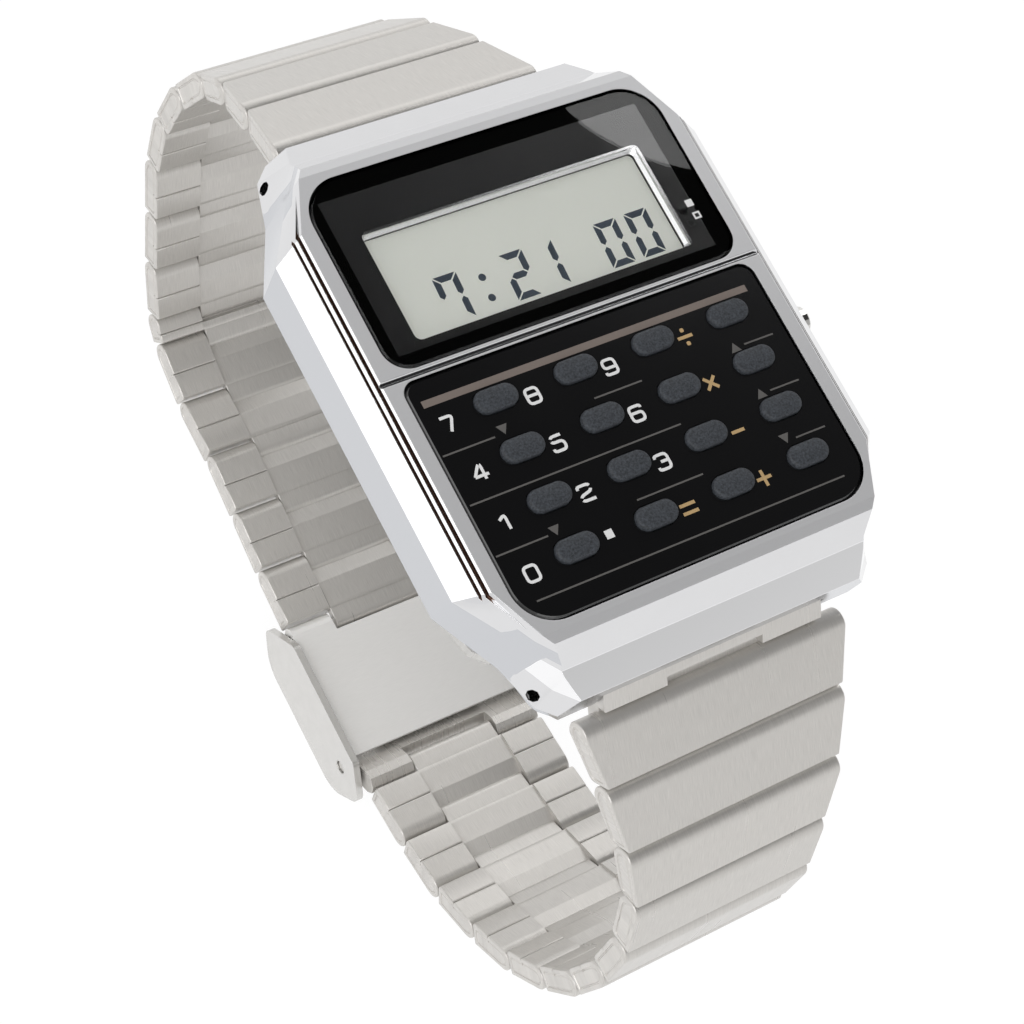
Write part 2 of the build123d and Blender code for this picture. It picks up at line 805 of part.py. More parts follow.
make_first_link("link_6_01", -1, first_pin_6, first_lean_6, first_length_6)
pin = first_pin_6
for number, lean in enumerate(leans_6, start=2):
    make_link(
        f"link_6_{number:02d}", seat_plane(-1, pin, lean), link_pitch,
        half_width_at(number), half_width_at(number + 1),
    )
    pin = next_pin(pin, lean, link_pitch)

# End link, from the last pin of the 6 o'clock half to the spring bar in the clasp
run = -clasp_bar_y - pin[0]
drop = pin[1] - clasp_bar_height
end_length = hypot(run, drop)
end_lean = degrees(atan2(drop, run))
end_seat = seat_plane(-1, pin, end_lean)
with BuildPart() as clasp_end_link:
    with BuildSketch(across_plane(end_seat)):
        Polygon(
            *half_round(link_half),
            (end_length, -end_barrel_radius),
            (end_length, end_barrel_radius),
            align=None,
        )
        barrel((end_length, 0), end_barrel_radius, 0)
    extrude(amount=taper[-1], both=True)
    with BuildSketch(across_plane(end_seat)):
        Polygon(
            *box_outline(-link_half - overrun, end_web_start, -link_half - overrun, link_half + overrun),
            align=None,
        )
    extrude(amount=pocket_half, both=True, mode=Mode.SUBTRACT)
    with BuildSketch(across_plane(end_seat)):
        with Locations((end_length, 0)):
            RegularPolygon(clasp_bar_radius, pin_sides)
    extrude(amount=clasp_bar_half, both=True)
    link_pin(end_seat)
save(clasp_end_link.part, "clasp_end_link")


def hinge_ears(centre, towards):
    """Two ears on the running part that hold a hinge pin, from the pin's centre to a level."""
    for inner, outer in ((ear_inner, ear_outer), (-ear_outer, -ear_inner)):
        with BuildSketch(side_plane.offset(inner)) as ear:
            with Locations(centre):
                RegularPolygon(clasp_hinge_radius, pin_sides)
            Polygon(
                *box_outline(
                    centre[0] - clasp_hinge_radius, centre[0] + clasp_hinge_radius,
                    min(centre[1], towards), max(centre[1], towards),
                ),
                align=None,
            )
        extrude(ear.sketch, amount=outer - inner)
    with BuildSketch(side_plane) as pin_end:
        with Locations(centre):
            RegularPolygon(pin_radius, bar_sides)
    extrude(pin_end.sketch, amount=ear_inner, both=True)


# Clasp cover: a folded channel with the hinge ears on its floor
with BuildPart() as clasp_cover:
    with BuildSketch(side_plane):
        with BuildLine():
            FilletPolyline(*cover_profile, radius=cover_rounds, close=True)
        make_face()
    extrude(amount=cover_half, both=True)
    floor_top = cover_profile[2][1] + cover_floor
    with BuildSketch(side_plane):
        Polygon(
            *box_outline(
                cover_profile[4][0] - overrun, cover_profile[1][0] + overrun,
                floor_top, cover_profile[0][1] + overrun,
            ),
            align=None,
        )
    extrude(amount=cover_half - cover_wall, both=True, mode=Mode.SUBTRACT)
    with BuildSketch(side_plane):
        with Locations((clasp_bar_y, clasp_bar_height)):
            RegularPolygon(clasp_bar_hole, pin_sides)
    extrude(amount=cover_half + overrun, both=True, mode=Mode.SUBTRACT)
    hinge_ears((cover_hinge_y, cover_hinge_height), floor_top - pin_fit)
save(clasp_cover.part, "clasp_cover")

# Middle blade, between the hinge in the cover and the hinge under the inner blade
with BuildPart() as clasp_middle_blade:
    rise = blade_hinge_height - cover_hinge_height
    reach = blade_hinge_y - cover_hinge_y
    blade_plane = Plane(
        origin=(0, cover_hinge_y, cover_hinge_height),
        x_dir=(0, reach, rise),
        z_dir=(1, 0, 0),
    )
    with BuildSketch(blade_plane):
        Polygon(
            *box_outline(0, hypot(reach, rise), -middle_thickness / 2, middle_thickness / 2), align=None
        )
        barrel((0, 0), clasp_hinge_radius, half_turn)
        barrel((hypot(reach, rise), 0), clasp_hinge_radius, 0)
        with Locations((0, 0), (hypot(reach, rise), 0)):
            RegularPolygon(pin_radius + pin_gap, bar_sides, mode=Mode.SUBTRACT)
    extrude(amount=middle_half, both=True)
save(clasp_middle_blade.part, "clasp_middle_blade")

# Inner blade: the plate against the wrist, rolled into two knuckles at the 12 o'clock end
with BuildPart() as clasp_inner_blade:
    with BuildSketch(side_plane):
        Polygon(
            *box_outline(blade_low_y, blade_pivot_y, blade_top - blade_thickness, blade_top), align=None
        )
    extrude(amount=blade_half, both=True)
    with BuildSketch(side_plane):
        with Locations((blade_pivot_y, blade_pivot_height)):
            RegularPolygon(blade_top - blade_pivot_height, bar_sides)
    extrude(amount=knuckle_half, both=True)
    with BuildSketch(side_plane):
        with Locations((blade_pivot_y, blade_pivot_height)):
            RegularPolygon(pin_radius + pin_gap, pin_sides)
    extrude(amount=knuckle_half, both=True, mode=Mode.SUBTRACT)
    with BuildSketch(side_plane):
        Polygon(
            *box_outline(
                blade_pivot_y - barrel_radius - 2 * barrel_gap, blade_pivot_y + 2 * overrun,
                blade_pivot_height - 2 * overrun, blade_top + overrun,
            ),
            align=None,
        )
        Polygon(
            *box_outline(
                blade_pivot_y - 2 * overrun, blade_pivot_y + 2 * overrun,
                blade_pivot_height - 2 * overrun, blade_top - blade_thickness,
            ),
            align=None,
        )
    extrude(amount=knuckle_inner_half, both=True, mode=Mode.SUBTRACT)
    hinge_ears((blade_hinge_y, blade_hinge_height), blade_top - pin_fit)
save(clasp_inner_blade.part, "clasp_inner_blade")
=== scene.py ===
import json

import bmesh
import bpy
import numpy as np
from mathutils import Matrix, Vector

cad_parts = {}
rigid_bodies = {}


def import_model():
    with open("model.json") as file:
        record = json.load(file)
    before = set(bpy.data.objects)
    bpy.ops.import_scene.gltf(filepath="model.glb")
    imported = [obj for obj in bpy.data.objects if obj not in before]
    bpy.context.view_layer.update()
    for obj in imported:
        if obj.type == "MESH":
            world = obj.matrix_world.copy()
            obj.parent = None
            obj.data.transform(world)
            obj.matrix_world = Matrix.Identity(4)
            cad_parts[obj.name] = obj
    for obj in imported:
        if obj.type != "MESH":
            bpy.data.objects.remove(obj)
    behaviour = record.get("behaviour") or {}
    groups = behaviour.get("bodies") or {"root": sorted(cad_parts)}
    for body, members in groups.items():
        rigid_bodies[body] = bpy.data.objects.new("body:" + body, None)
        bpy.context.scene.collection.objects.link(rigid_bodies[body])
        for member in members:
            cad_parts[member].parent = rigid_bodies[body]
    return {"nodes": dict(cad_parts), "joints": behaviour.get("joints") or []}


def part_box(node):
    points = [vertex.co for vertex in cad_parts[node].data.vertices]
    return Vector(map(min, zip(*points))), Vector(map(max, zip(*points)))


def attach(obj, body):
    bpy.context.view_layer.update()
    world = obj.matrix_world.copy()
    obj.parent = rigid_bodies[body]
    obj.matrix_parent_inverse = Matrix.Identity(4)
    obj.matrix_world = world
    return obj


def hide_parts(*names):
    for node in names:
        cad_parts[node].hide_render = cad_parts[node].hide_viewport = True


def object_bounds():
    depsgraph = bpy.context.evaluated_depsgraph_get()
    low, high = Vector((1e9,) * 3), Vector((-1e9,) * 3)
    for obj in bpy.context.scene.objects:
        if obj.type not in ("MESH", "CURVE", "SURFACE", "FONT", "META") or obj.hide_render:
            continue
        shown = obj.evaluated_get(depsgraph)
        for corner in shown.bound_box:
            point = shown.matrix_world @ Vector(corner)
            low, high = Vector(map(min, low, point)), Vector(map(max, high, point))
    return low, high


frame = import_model()
cad_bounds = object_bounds()
cad = frame["nodes"]

# Studio
# The watch stands on a plain pale floor. The dome is pale at the horizon and dark overhead, with
# four soft boxes and a soft disc. The camera has the photograph's place, turn and lens.
mm = 0.001
scene = bpy.context.scene
scene.view_settings.view_transform = "Standard"

camera_place_mm = Vector((-82.69, -47.03, 148.71))
camera_right = Vector((0.83515742, -0.46100454, 0.29997818))
camera_up = Vector((0.32961522, 0.85611986, 0.39801078))
camera_back = Vector((-0.44030205, -0.23352428, 0.86694897))
camera_data = bpy.data.cameras.new("camera")
camera_data.lens = 88.62
camera_data.sensor_width = 36.0
camera_data.clip_start = 0.01
camera = bpy.data.objects.new("camera", camera_data)
camera_turn = Matrix((camera_right, camera_up, camera_back)).transposed().to_4x4()
camera.matrix_world = Matrix.Translation(camera_place_mm * mm) @ camera_turn
scene.collection.objects.link(camera)
scene.camera = camera


def node(tree, kind, **values):
    """A new shader node, with its settings and sockets given by name."""
    made = tree.nodes.new(kind)
    for key, value in values.items():
        if hasattr(made, key):
            setattr(made, key, value)
        else:
            made.inputs[key.replace("_", " ")].default_value = value
    return made


horizon_colour = (0.92, 0.92, 0.93, 1.0)
overhead_colour = (0.025, 0.025, 0.025, 1.0)
dome_greys = ((0.34, 0.85), (0.6, 0.42), (0.74, 0.05))
world = bpy.data.worlds.new("pale_dome")
scene.world = world
world.use_nodes = True
dome = world.node_tree
dome.nodes.clear()
dome_place = node(dome, "ShaderNodeTexCoord")
dome_split = node(dome, "ShaderNodeSeparateXYZ")
dome_ramp = node(dome, "ShaderNodeValToRGB")
dome_light = node(dome, "ShaderNodeBackground", Strength=1.0)
dome_out = node(dome, "ShaderNodeOutputWorld")
dome_ramp.color_ramp.elements[0].color = horizon_colour
dome_ramp.color_ramp.elements[1].color = overhead_colour
for height, grey in dome_greys:
    dome_ramp.color_ramp.elements.new(height).color = (grey, grey, grey, 1.0)
dome.links.new(dome_place.outputs["Generated"], dome_split.inputs["Vector"])
dome.links.new(dome_split.outputs["Z"], dome_ramp.inputs["Fac"])
dome.links.new(dome_ramp.outputs["Color"], dome_light.inputs["Color"])
dome.links.new(dome_light.outputs["Background"], dome_out.inputs["Surface"])

for name, shape, towards, distance, size, power in (
    ("left_box", "SQUARE", (-0.80, 0.20, 0.52), 0.40, 0.34, 0.40),
    ("front_box", "SQUARE", (-0.15, -0.75, 0.62), 0.42, 0.30, 0.24),
    ("back_box", "SQUARE", (0.35, 0.80, 0.48), 0.42, 0.34, 0.30),
    ("high_box", "SQUARE", (-0.50, -0.30, 0.81), 0.55, 0.40, 1.00),
    ("glare_disc", "DISK", (0.60, 0.42, 0.68), 0.45, 0.13, 0.10),
):
    lamp = bpy.data.lights.new(name, "AREA")
    lamp.shape = shape
    lamp.size = size
    lamp.energy = power
    lamp_object = bpy.data.objects.new(name, lamp)
    lamp_way = Vector(towards).normalized()
    lamp_object.location = lamp_way * distance
    lamp_object.rotation_euler = lamp_way.to_track_quat("Z", "Y").to_euler()
    scene.collection.objects.link(lamp_object)

floor_level = cad_bounds[0][2]
floor_half = 3.0
floor_glow = 1.06
floor_glow_share = 0.88
floor_mesh = bpy.data.meshes.new("floor")
floor_mesh.from_pydata(
    [
        (-floor_half, -floor_half, floor_level), (floor_half, -floor_half, floor_level),
        (floor_half, floor_half, floor_level), (-floor_half, floor_half, floor_level),
    ],
    [], [(0, 1, 2, 3)],
)
floor = bpy.data.objects.new("floor", floor_mesh)
scene.collection.objects.link(floor)
floor_paint = bpy.data.materials.new("pale_floor")
floor_paint.use_nodes = True
paint = floor_paint.node_tree
paint.nodes.clear()
paint_out = node(paint, "ShaderNodeOutputMaterial")
paint_matt = node(paint, "ShaderNodeBsdfDiffuse", Color=(0.9, 0.9, 0.9, 1.0))
paint_glow = node(paint, "ShaderNodeEmission", Color=(1.0, 1.0, 1.0, 1.0), Strength=floor_glow)
paint_rays = node(paint, "ShaderNodeLightPath")
paint_seen = node(paint, "ShaderNodeMath", operation="MAXIMUM")
paint_through = node(paint, "ShaderNodeMath", operation="MAXIMUM")
paint_share = node(paint, "ShaderNodeMath", operation="MULTIPLY")
paint_share.inputs[1].default_value = floor_glow_share
paint_mix = node(paint, "ShaderNodeMixShader")
paint.links.new(paint_rays.outputs["Is Camera Ray"], paint_seen.inputs[0])
paint.links.new(paint_rays.outputs["Is Glossy Ray"], paint_seen.inputs[1])
paint.links.new(paint_seen.outputs["Value"], paint_through.inputs[0])
paint.links.new(paint_rays.outputs["Is Transmission Ray"], paint_through.inputs[1])
paint.links.new(paint_through.outputs["Value"], paint_share.inputs[0])
paint.links.new(paint_share.outputs["Value"], paint_mix.inputs["Fac"])
paint.links.new(paint_matt.outputs["BSDF"], paint_mix.inputs[1])
paint.links.new(paint_glow.outputs["Emission"], paint_mix.inputs[2])
paint.links.new(paint_mix.outputs["Shader"], paint_out.inputs["Surface"])
floor_mesh.materials.append(floor_paint)


# Case
# One stamped and polished steel case, bright on its bevels and flanks and satin on the narrow
# face round the two panels. The slope at the keypad's end has a painted highlight, and the grooves
# along its sides painted shade. It keeps the shape of the CAD model.
def fine_grain_group():
    """Streaks or grain: two noises on the place times the stretch, given out as 0 to 1. Grain is
    fine, and Cloud is a slow one."""
    group = bpy.data.node_groups.new("fine_grain", "ShaderNodeTree")
    sockets = group.interface
    sockets.new_socket("Place", in_out="INPUT", socket_type="NodeSocketVector")
    sockets.new_socket("Stretch", in_out="INPUT", socket_type="NodeSocketVector")
    sockets.new_socket("Grain", in_out="OUTPUT", socket_type="NodeSocketFloat")
    sockets.new_socket("Cloud", in_out="OUTPUT", socket_type="NodeSocketFloat")
    way_in = node(group, "NodeGroupInput")
    way_out = node(group, "NodeGroupOutput")
    stretch = node(group, "ShaderNodeVectorMath", operation="MULTIPLY")
    fine = node(group, "ShaderNodeTexNoise", Scale=1.0, Detail=3.0, Roughness=0.65)
    cloud = node(group, "ShaderNodeTexNoise", Scale=0.06, Detail=2.0, Roughness=0.5)
    group.links.new(way_in.outputs["Place"], stretch.inputs[0])
    group.links.new(way_in.outputs["Stretch"], stretch.inputs[1])
    group.links.new(stretch.outputs["Vector"], fine.inputs["Vector"])
    group.links.new(stretch.outputs["Vector"], cloud.inputs["Vector"])
    group.links.new(fine.outputs["Fac"], way_out.inputs["Grain"])
    group.links.new(cloud.outputs["Fac"], way_out.inputs["Cloud"])
    return group


fine_grain = fine_grain_group()
grain_span = (0.25, 0.75)
cloud_span = (0.2, 0.8)
coat_roughness = 0.03
edge_samples = 6


def grained(
    name, colour, roughness, swing, stretch, depth, shade, edge=0.0, uv=False, metallic=0.0,
    coat=0.0,
):
    """A finish whose grain multiplies the colour by 1 - shade to 1 + shade and dents it by depth
    in millimetres, while its cloud moves the roughness by the swing either way. The edges are
    softened by the radius edge in millimetres."""
    made = bpy.data.materials.new(name)
    made.use_nodes = True
    tree = made.node_tree
    base = tree.nodes["Principled BSDF"]
    base.inputs["Metallic"].default_value = metallic
    base.inputs["Coat Weight"].default_value = coat
    base.inputs["Coat Roughness"].default_value = coat_roughness
    place = node(tree, "ShaderNodeTexCoord")
    grain = node(tree, "ShaderNodeGroup", node_tree=fine_grain)
    grain.inputs["Stretch"].default_value = stretch
    tree.links.new(place.outputs["UV" if uv else "Object"], grain.inputs["Place"])
    tone = node(
        tree, "ShaderNodeMapRange", From_Min=grain_span[0], From_Max=grain_span[1],
        To_Min=1.0 - shade, To_Max=1.0 + shade,
    )
    tree.links.new(grain.outputs["Grain"], tone.inputs["Value"])
    tint = node(tree, "ShaderNodeMix", data_type="RGBA", blend_type="MULTIPLY")
    tint.inputs["Factor"].default_value = 1.0
    tint.inputs["A"].default_value = colour + (1.0,)
    tree.links.new(tone.outputs["Result"], tint.inputs["B"])
    tree.links.new(tint.outputs["Result"], base.inputs["Base Color"])
    rough = node(
        tree, "ShaderNodeMapRange", From_Min=cloud_span[0], From_Max=cloud_span[1],
        To_Min=roughness - swing, To_Max=roughness + swing,
    )
    tree.links.new(grain.outputs["Cloud"], rough.inputs["Value"])
    tree.links.new(rough.outputs["Result"], base.inputs["Roughness"])
    bump = node(tree, "ShaderNodeBump", Strength=1.0, Distance=depth * mm)
    tree.links.new(grain.outputs["Grain"], bump.inputs["Height"])
    tree.links.new(bump.outputs["Normal"], base.inputs["Normal"])
    if edge:
        soften = node(tree, "ShaderNodeBevel", samples=edge_samples, Radius=edge * mm)
        tree.links.new(soften.outputs["Normal"], bump.inputs["Normal"])
    return made


def metal(
    name, colour, roughness, stretch, depth, shade=0.08, swing=0.1, edge=0.0, uv=False,
    metallic=1.0,
):
    """Steel with brushed streaks, as many to the metre on each axis as the stretch says."""
    return grained(name, colour, roughness, swing, stretch, depth, shade, edge, uv, metallic)


def band(tree, socket, span):
    """A mask that is 1 where the value lies inside the span."""
    above = node(tree, "ShaderNodeMath", operation="GREATER_THAN")
    below = node(tree, "ShaderNodeMath", operation="LESS_THAN")
    both = node(tree, "ShaderNodeMath", operation="MULTIPLY")
    above.inputs[1].default_value = span[0]
    below.inputs[1].default_value = span[1]
    tree.links.new(socket, above.inputs[0])
    tree.links.new(socket, below.inputs[0])
    tree.links.new(above.outputs["Value"], both.inputs[0])
    tree.links.new(below.outputs["Value"], both.inputs[1])
    return both.outputs["Value"]


def join(tree, operation, first, *others):
    """One mask from several: their product or the larger one, by the operation's name."""
    for mask in others:
        made = node(tree, "ShaderNodeMath", operation=operation)
        tree.links.new(first, made.inputs[0])
        tree.links.new(mask, made.inputs[1])
        first = made.outputs["Value"]
    return first


def repaint(tree, mask, colour, roughness, metallic=1.0):
    """Another colour, roughness and share of metal where the mask is 1."""
    base = tree.nodes["Principled BSDF"]
    for name, kind, value in (
        ("Base Color", "RGBA", colour + (1.0,)), ("Roughness", "FLOAT", roughness),
        ("Metallic", "FLOAT", metallic),
    ):
        mix = node(tree, "ShaderNodeMix", data_type=kind)
        mix.inputs["B"].default_value = value
        socket = base.inputs[name]
        if socket.links:
            tree.links.new(socket.links[0].from_socket, mix.inputs["A"])
        else:
            mix.inputs["A"].default_value = socket.default_value
        tree.links.new(mask, mix.inputs["Factor"])
        tree.links.new(mix.outputs["Result"], socket)


def finish_node(name, material):
    """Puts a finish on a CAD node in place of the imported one."""
    slots = cad[name].material_slots
    if not slots:
        cad[name].data.materials.append(material)
    for slot in slots:
        slot.material = material


case_chrome = metal(
    "case_chrome", (0.72, 0.72, 0.73), 0.07, (400.0, 400.0, 400.0), 0.0004,
    shade=0.01, swing=0.02, edge=0.07,
)
case_tree = case_chrome.node_tree
case_place = node(case_tree, "ShaderNodeTexCoord")
case_split = node(case_tree, "ShaderNodeSeparateXYZ")
case_tree.links.new(case_place.outputs["Object"], case_split.inputs["Vector"])
case_facing = node(case_tree, "ShaderNodeSeparateXYZ")
case_tree.links.new(case_place.outputs["Normal"], case_facing.inputs["Vector"])
case_across = node(case_tree, "ShaderNodeMath", operation="ABSOLUTE")
case_tree.links.new(case_split.outputs["X"], case_across.inputs[0])
case_level = case_split.outputs["Z"]
case_tilt = case_facing.outputs["Z"]

flank_levels = (0.0, 7.3 * mm)
flank_tilt = (-0.3, 0.3)
flank = join(
    case_tree, "MULTIPLY", band(case_tree, case_level, flank_levels),
    band(case_tree, case_tilt, flank_tilt),
)
face_levels = (7.98 * mm, 9.0 * mm)
face_tilt = (0.9, 2.0)
face = join(
    case_tree, "MULTIPLY", band(case_tree, case_level, face_levels),
    band(case_tree, case_tilt, face_tilt),
)
# Painted highlight: only the sloping bevel at the keypad's end is repainted a near-white steel.
end_levels = (4.5 * mm, 5.95 * mm)
end_reach = (-25.0 * mm, 0.0)
end_tilt = (0.3, 0.97)
end_slope_highlight = join(
    case_tree, "MULTIPLY", band(case_tree, case_level, end_levels),
    band(case_tree, case_split.outputs["Y"], end_reach), band(case_tree, case_tilt, end_tilt),
)
# Painted shade: the floors and walls of the grooves along the sides of the face are repainted a
# dark brown.
groove_levels = (7.38 * mm, 8.12 * mm)
groove_reach = (15.32 * mm, 18.0 * mm)
groove_floor_tilt = (0.97, 2.0)
groove_wall_tilt = (-0.03, 0.03)
groove = join(
    case_tree, "MULTIPLY", band(case_tree, case_level, groove_levels),
    band(case_tree, case_across.outputs["Value"], groove_reach),
    join(
        case_tree, "MAXIMUM", band(case_tree, case_tilt, groove_floor_tilt),
        band(case_tree, case_tilt, groove_wall_tilt),
    ),
)
repaint(case_tree, end_slope_highlight, (0.92, 0.92, 0.93), 0.07)
repaint(case_tree, face, (0.60, 0.60, 0.61), 0.38, metallic=0.3)
repaint(case_tree, flank, (0.60, 0.61, 0.635), 0.22)
repaint(case_tree, groove, (0.16, 0.10, 0.075), 0.25)
finish_node("case_middle", case_chrome)

# Case back, screws, spring bars and side buttons
# The back is a turned-over steel plate with a brushed pad, held by four slotted screws. The bars
# and the buttons are turned from steel rod.
back_steel = metal(
    "back_steel", (0.60, 0.59, 0.57), 0.30, (14000.0, 300.0, 300.0), 0.002, edge=0.06,
)
rod_steel = metal(
    "rod_steel", (0.66, 0.65, 0.63), 0.18, (900.0, 9000.0, 9000.0), 0.001, edge=0.05,
)
for name in ("case_back", "back_screws"):
    finish_node(name, back_steel)
for name in ("spring_bars", "mode_button", "adjust_button"):
    finish_node(name, rod_steel)


# Module
# A green board with a chip, a steel button cell, a black moulded frame and a rubber membrane lie
# sealed in the case.
plain_swing = 0.15


def plain(name, colour, roughness, grain_size, depth, coat=0.0, shade=0.15):
    """A moulded or printed finish with even grain of a size in millimetres, and a roughness that
    swings by a share of itself."""
    stretch = (1.0 / (grain_size * mm),) * 3
    swing = plain_swing * roughness
    return grained(name, colour, roughness, swing, stretch, depth, shade, coat=coat)


finish_node("circuit_board", plain("board_green", (0.03, 0.16, 0.07), 0.4, 0.3, 0.003))
finish_node("module_frame", plain("black_moulding", (0.02, 0.02, 0.02), 0.5, 0.1, 0.004))
finish_node(
    "battery", metal("cell_steel", (0.68, 0.68, 0.67), 0.3, (900.0, 900.0, 9000.0), 0.001),
)
finish_node("key_membrane", plain("membrane_rubber", (0.05, 0.05, 0.055), 0.6, 0.1, 0.003))

# Display
# A grey-green liquid-crystal cell lies in a sloping silver rim, under a black printed mask and a
# thick clear crystal with a bevelled rim. The cell has a faint painted glow, to stay pale under
# the glass.
crystal = bpy.data.materials.new("crystal_glass")
crystal.use_nodes = True
crystal_tree = crystal.node_tree
crystal_base = crystal_tree.nodes["Principled BSDF"]
crystal_base.inputs["Transmission Weight"].default_value = 1.0
crystal_base.inputs["IOR"].default_value = 1.45
crystal_base.inputs["Roughness"].default_value = 0.0
crystal_place = node(crystal_tree, "ShaderNodeTexCoord")
crystal_grain = node(crystal_tree, "ShaderNodeGroup", node_tree=fine_grain)
crystal_grain.inputs["Stretch"].default_value = (300.0, 300.0, 300.0)
crystal_tone = node(crystal_tree, "ShaderNodeMapRange", To_Min=0.96, To_Max=1.0)
crystal_tree.links.new(crystal_place.outputs["Object"], crystal_grain.inputs["Place"])
crystal_tree.links.new(crystal_grain.outputs["Cloud"], crystal_tone.inputs["Value"])
crystal_tree.links.new(crystal_tone.outputs["Result"], crystal_base.inputs["Base Color"])
finish_node("display_crystal", crystal)
finish_node(
    "display_module",
    metal("frame_silver", (0.80, 0.80, 0.81), 0.16, (600.0, 600.0, 600.0), 0.0005),
)


def add_piece(name, solid, material, body, smooth=False):
    """Makes a mesh piece from a solid in millimetres, and says what it rides on and is made of."""
    points, faces = solid
    mesh = bpy.data.meshes.new(name)
    mesh.from_pydata((points * mm).tolist(), [], faces)
    mesh.materials.append(material)
    mesh.polygons.foreach_set("use_smooth", [smooth] * len(mesh.polygons))
    made = bpy.data.objects.new(name, mesh)
    scene.collection.objects.link(made)
    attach(made, body)
    return made


def skin(rings, loop=False):
    """A closed solid: each ring of points is joined to the next by faces with four sides. Its
    first and last ring are filled, or joined to each other where the rings run in a loop."""
    rings = np.array(rings)
    rows = np.arange(rings.shape[0] * rings.shape[1]).reshape(rings.shape[:2])
    turned = np.roll(rows, -1, axis=1)
    walls = np.stack([
        rows, turned, np.roll(turned, -1, axis=0), np.roll(rows, -1, axis=0),
    ], axis=-1)
    if loop:
        return rings.reshape(-1, 3), walls.reshape(-1, 4).tolist()
    ends = [rows[0, ::-1].tolist(), rows[-1].tolist()]
    return rings.reshape(-1, 3), walls[:-1].reshape(-1, 4).tolist() + ends


def together(solids):
    """Several solids as one: their points in a row, with the numbers in their faces counted on."""
    starts = np.cumsum([0] + [len(points) for points, faces in solids]).tolist()
    faces = [
        [start + point for point in face]
        for start, solid in zip(starts, solids) for face in solid[1]
    ]
    return np.concatenate([points for points, _ in solids]), faces


def at_level(outline, level):
    """A flat outline as points at a level."""
    return np.column_stack([outline, np.full(len(outline), level)])


def plates(outlines, low, high):
    """Closed flat plates: each outline, going round anticlockwise, is drawn at two levels."""
    return together([skin([at_level(line, low), at_level(line, high)]) for line in outlines])


def frame_plate(outer, inner, low, high):
    """A flat plate with a hole: four rings of equally many points, in a loop."""
    return skin([
        at_level(outer, low), at_level(outer, high), at_level(inner, high), at_level(inner, low),
    ], loop=True)


def rounded_box(low, high, radii):
    """The outline of a rectangle, anticlockwise from its lower right corner. Each corner is a
    quarter circle in six points, with its centre a radius in from both sides."""
    corners = np.array([(high[0], low[1]), high, (low[0], high[1]), low])
    radius = np.broadcast_to(radii, 4)[:, None]
    centres = corners + radius * [(-1, 1), (-1, -1), (1, -1), (1, 1)]
    start = np.array((-90.0, 0.0, 90.0, 180.0))[:, None]
    turn = np.radians(start + np.linspace(0.0, 90.0, 6))
    x = centres[:, :1] + radius * np.cos(turn)
    y = centres[:, 1:] + radius * np.sin(turn)
    return np.stack([x, y], axis=-1).reshape(-1, 2)


crystal_low, crystal_high = (np.array(corner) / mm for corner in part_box("display_crystal"))
frame_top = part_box("display_module")[1][2] / mm
window_low = np.array((-11.2, 4.15))
window_high = np.array((11.45, 12.7))
window_corner = 0.5
mask_corners = (1.9, 3.0, 3.0, 1.9)
mask_under = 0.01
mask_thickness = 0.03
mask_black = plain("mask_black", (0.004, 0.004, 0.0045), 0.35, 0.5, 0.0)
mask = frame_plate(
    rounded_box(crystal_low[:2], crystal_high[:2], mask_corners),
    rounded_box(window_low, window_high, window_corner),
    crystal_low[2] - mask_under - mask_thickness, crystal_low[2] - mask_under,
)
add_piece("display_mask", mask, mask_black, "case")

cell_depth = 0.72
lcd_level = frame_top - cell_depth
rim_overlap = 0.02
rim_height = 0.45
rim_edge = 0.03
rim_corner = 0.4
rim_run = np.array((0.48, 0.4))
rim_under = 0.05
rim_top = crystal_low[2] - rim_under
rim_low = rim_top - rim_height
rim_outer = rounded_box(window_low - rim_overlap, window_high + rim_overlap, window_corner)
rim_inner = rounded_box(window_low + rim_edge, window_high - rim_run, rim_corner)
rim = skin([
    at_level(rim_outer, rim_low), at_level(rim_outer, rim_top),
    at_level(rim_inner, rim_low + rim_edge), at_level(rim_inner, rim_low),
], loop=True)
rim_silver = metal(
    "rim_silver", (0.90, 0.90, 0.91), 0.22, (900.0, 900.0, 900.0), 0.0004,
    shade=0.02, swing=0.03,
)
add_piece("window_rim", rim, rim_silver, "case")
skirt_above_cell = 0.03
skirt_under_rim = 0.01
skirt = frame_plate(
    rim_outer, rim_inner, lcd_level + skirt_above_cell, rim_low - skirt_under_rim,
)
add_piece("window_skirt", skirt, mask_black, "case")

cell_low = (-11.18, 4.17)
cell_high = (11.18, 12.48)
cell_corner = 0.3
cell_thickness = 0.01
ground = plates(
    [rounded_box(cell_low, cell_high, cell_corner)], lcd_level - cell_thickness, lcd_level,
)
lcd_ground = plain("lcd_ground", (0.93, 0.95, 0.88), 0.45, 0.2, 0.0, shade=0.02)
# Painted glow: a faint emission on the cell puts back the light that the crystal's shadow takes
# from it.
lcd_glow_shader = lcd_ground.node_tree.nodes["Principled BSDF"]
lcd_glow_shader.inputs["Emission Color"].default_value = (0.90, 0.93, 0.85, 1.0)
lcd_glow_shader.inputs["Emission Strength"].default_value = 0.2
add_piece("lcd_ground", ground, lcd_ground, "case")

# Numerals of the display
# Plain seven-bar numerals of the liquid crystal, which lean a little. They are dark parts of the
# cell itself, laid on it here as thin flat bars.
lcd_ink = plain("lcd_ink", (0.075, 0.10, 0.135), 0.4, 0.15, 0.0, shade=0.1)
bar_width = 0.48
bar_gap = 0.08
lean_share = 0.05
numeral_size = np.array((1.88, 3.55))
numeral_bars = {"0": "abcdef", "1": "bc", "2": "abged", "7": "fabc"}
numeral_places = (
    ("7", -7.88, 4.7), ("2", -2.58, 4.72), ("1", -0.18, 4.7), ("0", 5.2, 4.65), ("0", 7.8, 4.65),
)
colon_dots = ((-4.3, 5.6), (-4.22, 7.2))
colon_radius = 0.28
lcd_ink_low = lcd_level + 0.005
lcd_ink_high = lcd_level + 0.015


